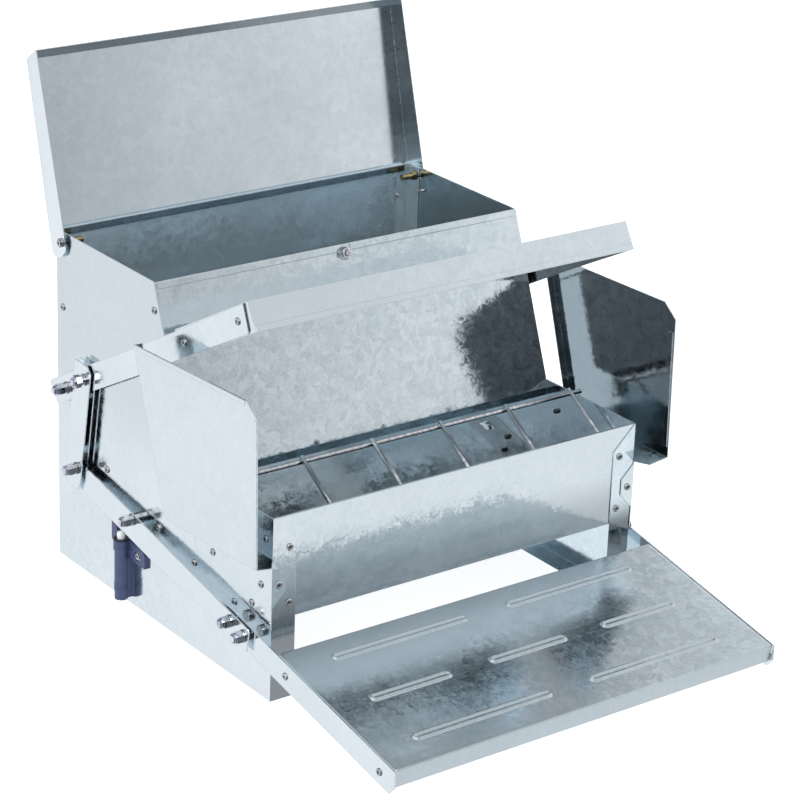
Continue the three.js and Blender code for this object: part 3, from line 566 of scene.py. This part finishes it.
TROUGH_RIVETS = [(-81.4, 109), (-164, 87.5), (-218, 77.1)]
SIDE_RIVETS = [(-9.7, 232.6), HOPPER_RIVET, *TROUGH_RIVETS, (-277.2, 66.4), (-319.8, 138.5)]
GUARD_RIVETS = [(-246.2, 98), (-303.2, 76.8), (-315.6, 97.8)]
COVER_RIVETS = [from_cover(-298.8, -11), from_cover(-212.7, -8.2)]
TREADLE_RIVETS = [(-362.6, 39.4), (-488.7, 14.6)]

RIVET_SPOTS = {
    ("rivets_body", "feeder_body"): (
        pairs(-HALF_WIDTH, SIDE_RIVETS, TO_LEFT)
        + pairs(-169, [(-DEPTH, 132), (-DEPTH, 84)], TO_FRONT)
        + pairs(-HALF_WIDTH - SHEET, GUARD_RIVETS, TO_LEFT)
        + pairs(-179.6, [(-DEPTH - SHEET, 102)], TO_FRONT)
    ),
    ("rivets_cover", "trough_cover"): pairs(-190.8, COVER_RIVETS, TO_LEFT),
    ("rivets_treadle", "treadle"): pairs(-193.5, TREADLE_RIVETS, TO_LEFT),
}
for (name, body), spots in RIVET_SPOTS.items():
    turned(name, body, spots, [(RING, 18), (CORE, 12)], [RIVET, DARK])

# tails of the rivets inside the trough and the hopper
spots = pairs(-183.0, TROUGH_RIVETS, TO_RIGHT) + pairs(-184.1, [(-228, 134.6)], TO_RIGHT)
turned("rivet_tails_trough", "feeder_body", spots, [(TAIL, 14)], [DARK])
spots = (
    pairs(-171, [(-0.9, 271.7)], TO_FRONT)
    + pairs(-184.1, [(-22.5, 279.4)], TO_RIGHT)
    + pairs(-183.9, [HOPPER_RIVET], TO_RIGHT)
)
turned("rivet_pins_hopper", "feeder_body", spots, [(PIN, 12)], [RIVET])

# ---------------------------------------------------------------------------------------
# nylon rings in the lock nuts, and dark crosses on the screw heads, painted shade standing in for
# cross recesses
# ---------------------------------------------------------------------------------------
UPPER_BORE, LOWER_BORE = 2.6, 3.0  # radius inside the nylon ring
CROSS_LENGTH = 3.4
CROSS_WIDTH = 0.24  # as a share of the length
CROSS_DEPTH = 0.3
CROSS_BEVEL = 0.05
CROSS_TURN = 0.35  # radians


def nylon_ring(nut):
    bore = UPPER_BORE if nut.startswith("upper") else LOWER_BORE
    side = -1 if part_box(nut)[0].x < 0 else 1
    profile = [
        (bore, -0.9), (bore, 0.12), (bore + 0.18, 0.28), (bore + 0.75, 0.26),
        (bore + 1.0, 0.05), (bore + 1.0, -0.9), (bore, -0.9),
    ]
    spots = [(outer_end(nut, side), (side, 0, 0))]
    turned(nut + "_nylon", BODY_OF[nut], spots, [(profile, 20)], [NYLON])


# painted shade: a thin dark cross standing out a little from the screw head, in place of a cut
# cross recess
def screw_cross(name, screw, side):
    facing = Vector((side, 0, 0)).to_track_quat("Z", "Y").to_matrix().to_4x4()
    size = (CROSS_LENGTH * MM, CROSS_LENGTH * CROSS_WIDTH * MM, CROSS_DEPTH * MM, 1)
    bm = bmesh.new()
    for turn in (CROSS_TURN, CROSS_TURN + math.pi / 2):
        place = Matrix.Translation(outer_end(screw, side)) @ facing
        place = place @ Matrix.Rotation(turn, 4, "Z") @ Matrix.Diagonal(size)
        bmesh.ops.create_cube(bm, size=1.0, matrix=place)
    bevel = CROSS_BEVEL * MM
    bmesh.ops.bevel(bm, geom=bm.edges[:], offset=bevel, segments=1, affect="EDGES")
    make(name, bm, "feeder_body", [DARK], smooth=False)


for name in sorted(NODES):
    if "nut" in name and name != "hopper_front_nut":
        nylon_ring(name)
screw_cross("screw_cross_left", "lid_hinge_screw_left", -1)
screw_cross("screw_cross_right", "lid_hinge_screw_right", 1)
screw_cross("screw_cross_damper", "damper_screw", -1)

# ---------------------------------------------------------------------------------------
# turned-over hems
# ---------------------------------------------------------------------------------------
HEM_STEPS = 24
HOPPER_SLOPE = math.radians(21.26)  # of the hopper's front panel, from upright
FRONT_HEM_DROP = 0.6  # below the panel's top edge


def hem(name, start, end, across, out, width, body, material):
    """A low rounded band from start to end, width mm across, standing out from the sheet."""
    across, out = Vector(across).normalized(), Vector(out).normalized()
    profile = [  # across, out
        (0, -0.12), (0, 0.18), (0.18, 0.34), (0.45, 0.38),
        (width - 0.7, 0.38), (width - 0.3, 0.30), (width, 0.10), (width, -0.12),
    ]
    bm = bmesh.new()
    rows = []
    for step in range(HEM_STEPS + 1):
        along = start.lerp(end, step / HEM_STEPS)
        rows.append([bm.verts.new(along + across * (p * MM) + out * (q * MM)) for p, q in profile])
    count = len(profile)
    for row, following in zip(rows, rows[1:]):
        for j in range(count):
            after = (j + 1) % count
            bm.faces.new((row[j], row[after], following[after], following[j]))
    bm.faces.new(rows[0][::-1])
    bm.faces.new(rows[-1])
    make(name, bm, body, [material], smooth=False)


def on_guard(y, z, side):
    """A point on a guard's outer face; the guards spread a little towards the back."""
    return point(side * (210.5 + 0.021 * (y + 345.6)), y, z)


def on_cover(x, y, z):
    return point(x, *from_cover(y, z))


# the back hem's dark tone is painted shade
start, end = (point(x, -1.55, 299.6) for x in (-178, 178))
hem("hopper_back_hem", start, end, (0, 0, -1), TO_FRONT, 6.4, "feeder_body", HEM)
for side, word in ((-1, "left"), (1, "right")):
    out = (side, 0, 0)
    start, end = on_guard(-326.5, 262.9, side), on_guard(-176.5, 258.1, side)
    hem("guard_hem_top_" + word, start, end, (0, 0.03, -1), out, 4.2, "feeder_body", GUARD)
    start, end = on_guard(-345.2, 129, side), on_guard(-342.5, 251, side)
    hem("guard_hem_front_" + word, start, end, TO_BACK, out, 4.2, "feeder_body", GUARD)

start, end = (on_cover(x, -317.4, -24.4) for x in (-188.6, 188.6))
across = on_cover(0, 0, 1) - on_cover(0, 0, 0)
out = on_cover(0, -1, 0) - on_cover(0, 0, 0)
hem("cover_hem", start, end, across, out, 5.0, "trough_cover", COVER)

down = Vector((0, -math.sin(HOPPER_SLOPE), -math.cos(HOPPER_SLOPE)))
out = Vector((0, -math.cos(HOPPER_SLOPE), math.sin(HOPPER_SLOPE)))
for k, ends in enumerate(((-183.5, -6.5), (6.5, 183.5))):
    start, end = (point(x, -155.3, 300) + down * (FRONT_HEM_DROP * MM) for x in ends)
    hem("hopper_front_hem_%d" % k, start, end, down, out, 5.6, "feeder_body", FRONT)

# ---------------------------------------------------------------------------------------
# pressed treadle plate
# ---------------------------------------------------------------------------------------
PLATE_BACK_Y, PLATE_BACK_Z = -349.5, 53.3
PLATE_LENGTH = 160.4
PLATE_HALF_WIDTH = 192.3
PLATE_TILT = math.atan(0.19)
# middle x, distance forward from the back edge, length
BEADS = [
    (-89, 23, 133), (85, 23, 133),
    (-119, 79, 78), (-2, 79, 78), (114, 79, 78),
    (-89, 133, 135), (86, 133, 135),
]
BEAD_RADIUS = 4.3  # half a bead's width
BEAD_RISE, BEAD_RISE_WIDTH = 1.6, 1.5
GROOVE_START, GROOVE_WIDTH, GROOVE_DEPTH = 1.6, 1.8, 1.0  # sunk along a bead's middle
FINE_MARGIN = 5.2  # the mesh is finer this far to either side of a bead's lines and ends
LAST_STEP = 0.25  # a remainder shorter than this joins the step before it
FOLD_WIDTH = 1.5  # strip along each edge that is taken up by the fold
FOLD_RADIUS = 1.3
SKIRT, BACK_SKIRT = 17, 9  # drop of the folded edges
FRONT_LIP = 7.0  # turned back under the front edge
TOP_FACE = 190 * 60 + 95  # index of a face well inside the top


def on_plate(x, forward, up):
    """forward mm from the back edge along the sloping plate, up mm above its top face."""
    cos, sin = math.cos(PLATE_TILT), math.sin(PLATE_TILT)
    y = PLATE_BACK_Y - forward * cos - up * sin
    return point(x, y, PLATE_BACK_Z - forward * sin + up * cos)


def smoothstep(t):
    t = min(1.0, max(0.0, t))
    return t * t * (3 - 2 * t)


def bead_height(x, forward):
    highest = 0.0
    for middle, line, length in BEADS:
        past_end = max(0.0, abs(x - middle) - (length / 2 - BEAD_RADIUS))
        inside = BEAD_RADIUS - math.hypot(past_end, forward - line)
        if inside > 0:
            rise = BEAD_RISE * smoothstep(inside / BEAD_RISE_WIDTH)
            groove = GROOVE_DEPTH * smoothstep((inside - GROOVE_START) / GROOVE_WIDTH)
            highest = max(highest, rise - groove)
    return highest


def stations(low, high, coarse, fine, middles):
    """Steps from low to high, finer around the middles."""
    near = [(middle - FINE_MARGIN, middle + FINE_MARGIN) for middle in middles]
    places, p = [low], low
    while p < high - 1e-6:
        step = fine if any(a - fine <= p <= b for a, b in near) else coarse
        p = min(high, p + step)
        if high - p < LAST_STEP:
            p = high
        places.append(p)
    return places


def folded(drop, lip=0):
    """(distance outward, height) down a folded edge, with a lip turned back under if given."""
    radius, centre = FOLD_RADIUS, FOLD_WIDTH - FOLD_RADIUS
    angles = [math.pi / 2 * k / 5 for k in range(1, 6)]
    places = [(centre + radius * math.sin(a), -radius + radius * math.cos(a)) for a in angles]
    places.append((FOLD_WIDTH, -drop + (radius if lip else 0)))
    if lip:
        angles = [math.pi / 2 * k / 4 for k in range(1, 5)]
        places += [
            (centre + radius * math.cos(a), -drop + radius - radius * math.sin(a)) for a in angles
        ]
        places.append((FOLD_WIDTH - lip, -drop))
    return places


def pressed_plate():
    flat_x = PLATE_HALF_WIDTH - FOLD_WIDTH
    flat_front = PLATE_LENGTH - FOLD_WIDTH
    bead_ends = [middle + t * length / 2 for middle, _, length in BEADS for t in (-1, 1)]
    bead_lines = [line for _, line, _ in BEADS]
    xs = stations(-flat_x, flat_x, coarse=1.9, fine=0.7, middles=bead_ends)
    forwards = stations(FOLD_WIDTH, flat_front, coarse=1.5, fine=0.5, middles=bead_lines)

    bm = bmesh.new()
    grid = [[bm.verts.new(on_plate(x, f, bead_height(x, f))) for x in xs] for f in forwards]
    for row, following in zip(grid, grid[1:]):
        for j in range(len(xs) - 1):
            bm.faces.new((row[j], row[j + 1], following[j + 1], following[j]))

    def skirt(edge, places):
        rows = [edge] + [[bm.verts.new(place) for place in row] for row in places]
        for a, b in zip(rows, rows[1:]):
            for k in range(len(edge) - 1):
                bm.faces.new((a[k], a[k + 1], b[k + 1], b[k]))

    front = folded(SKIRT, FRONT_LIP)
    skirt(grid[-1], [[on_plate(x, flat_front + p, up) for x in xs] for p, up in front])
    back = folded(BACK_SKIRT)
    skirt(grid[0], [[on_plate(x, FOLD_WIDTH - p, up) for x in xs] for p, up in back])
    for side, column in ((1, -1), (-1, 0)):
        edge = [row[column] for row in grid]
        down = folded(SKIRT)
        skirt(edge, [[on_plate(side * (flat_x + p), f, up) for f in forwards] for p, up in down])

    plate = make("treadle_plate_pressed", bm, "treadle", [TREADLE])
    # the thickness goes below the top face, whichever way the normals came out
    upward = plate.data.polygons[TOP_FACE].normal.z > 0
    solid = plate.modifiers.new("sheet", "SOLIDIFY")
    solid.thickness = SHEET * MM
    solid.offset = -1.0 if upward else 1.0
    solid.use_even_offset = True
    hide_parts("treadle_plate")


pressed_plate()

# ---------------------------------------------------------------------------------------
# room, light, camera
# ---------------------------------------------------------------------------------------
ROOM_WHITE = (0.955, 0.975, 1.0)


def floor_material():
    """Pale paper. In reflections it is a plain sweep, dimmer in front on the left and far back."""
    material, tree = new_material("floor_paper")
    clouds = tree.noise(tree.coords(), scale=3.0, rough=0.55)
    paper = tree.node("BsdfPrincipled", {
        "Base Color": tree.mix(clouds, (0.62, 0.62, 0.62), (0.60, 0.602, 0.605)),
        "Roughness": 0.9,
        "Specular IOR Level": 0.05,
        "Emission Color": (1, 1, 1),
        "Emission Strength": 0.80,
    })
    x, y, _ = tree.split(tree.node("NewGeometry").outputs["Position"])
    front = tree.remap(y, span=(-0.45, -1.1), smooth=True)
    across = tree.remap(x, span=(-0.70, 0.25), to=(0.04, 0.72), smooth=True)
    behind = tree.remap(y, span=(1.6, 3.6), to=(1.0, 0.24), smooth=True)
    tone = tree.between(front, off=tree.times(behind, 1.0), on=across)
    sweep = tree.node("Emission", {0: ROOM_WHITE, 1: tone})
    glossy = tree.node("LightPath").outputs["Is Glossy Ray"]
    inputs = {0: glossy, 1: paper.outputs[0], 2: sweep.outputs[0]}
    tree.finish(tree.node("MixShader", inputs))
    return material


def floor():
    mesh = bpy.data.meshes.new("floor")
    bm = bmesh.new()
    bmesh.ops.create_circle(bm, cap_ends=True, radius=9.0, segments=96)
    bm.to_mesh(mesh)
    bm.free()
    made = bpy.data.objects.new("floor", mesh)
    bpy.context.scene.collection.objects.link(made)
    made.location.z = -0.0004  # just clear of the feeder's underside
    mesh.materials.append(floor_material())


def room():
    """A bright room, dim in front on the left and grey at the back on the right."""
    world = bpy.data.worlds.new("room")
    bpy.context.scene.world = world
    tree = Tree(world, "OutputWorld")
    direction = tree.node("TexCoord").outputs["Generated"]
    x, y, z = tree.split(direction)

    # the front half brightens to the right and upwards
    low = tree.remap(z, span=(-0.05, 0.13), to=(0.72, 1.0))
    across = tree.times(tree.remap(x, span=(0.33, 0.60), to=(0.02, 0.95)), low)
    high = tree.remap(z, span=(0.10, 0.55), smooth=True)
    front_tone = tree.math("MAXIMUM", across, tree.times(high, 0.80))

    # the back half has a grey patch on the right and a dim horizon
    patch = tree.remap(tree.dot(direction, (0.50, 0.70, 0.50)), span=(0.45, 0.93), smooth=True)
    not_far_right = tree.remap(x, span=(0.572, 0.655), to=(1.0, 0.0), smooth=True)
    patch = tree.times(patch, not_far_right)
    back_tone = tree.remap(patch, span=(0.0, 1.0), to=(0.97, 0.40))
    horizon = tree.remap(z, span=(0.02, 0.30), to=(1.0, 0.0), smooth=True)
    horizon = tree.times(horizon, tree.remap(y, span=(0.3, 0.8), smooth=True))
    back_tone = tree.times(back_tone, tree.remap(horizon, span=(0.0, 1.0), to=(1.0, 0.3)))

    in_front = tree.remap(y, span=(-0.10, -0.50), smooth=True)
    tone = tree.between(in_front, off=back_tone, on=front_tone)
    colour = tree.mix(tone, (0.0, 0.012, 0.022), ROOM_WHITE)
    tree.finish(tree.node("Background", {0: colour, 1: 1.0}))


def add_light(name, kind, energy, direction):
    light = bpy.data.lights.new(name, kind)
    light.energy = energy
    made = bpy.data.objects.new(name, light)
    bpy.context.scene.collection.objects.link(made)
    made.rotation_mode = "QUATERNION"
    made.rotation_quaternion = Vector(direction).to_track_quat("-Z", "Y")
    return made


def soft_sun(name, direction, energy, angle):
    """A sun spread over an angle in degrees, kept out of reflections."""
    sun = add_light(name, "SUN", energy, direction)
    sun.data.angle = math.radians(angle)
    sun.visible_glossy = False


def highlight():
    """A small square light in front on the left, aimed at the feeder."""
    place, target = Vector((-1.6, -1.4, 1.5)), Vector((0, 0, 0.15))
    made = add_light("highlight", "AREA", 3.0, target - place)
    made.location = place
    made.data.shape = "RECTANGLE"
    made.data.size = made.data.size_y = 0.5


def camera():
    lens = bpy.data.cameras.new("camera")
    lens.sensor_width = 36.0
    lens.lens = 128.54
    lens.clip_start = 0.05
    lens.clip_end = 50.0
    made = bpy.data.objects.new("camera", lens)
    bpy.context.scene.collection.objects.link(made)
    right = (0.80394508, -0.59363869, 0.03557255)
    up = (0.19692629, 0.32217755, 0.92597066)
    backward = (-0.56115269, -0.73742439, 0.37591612)
    pose = Matrix((right, up, backward)).transposed().to_4x4()
    pose.translation = Vector((-1.32843, -1.98822 + BACK_Y * MM, 1.07922))
    made.matrix_world = pose
    bpy.context.scene.camera = made


floor()
room()
soft_sun("overhead", direction=(0.35, -0.10, -1.0), energy=1.15, angle=70)
soft_sun("side", direction=(0.8, 0.45, -0.7), energy=0.45, angle=60)
highlight()
camera()
bpy.context.scene.view_settings.view_transform = "Standard"
bpy.context.scene.view_settings.look = "None"
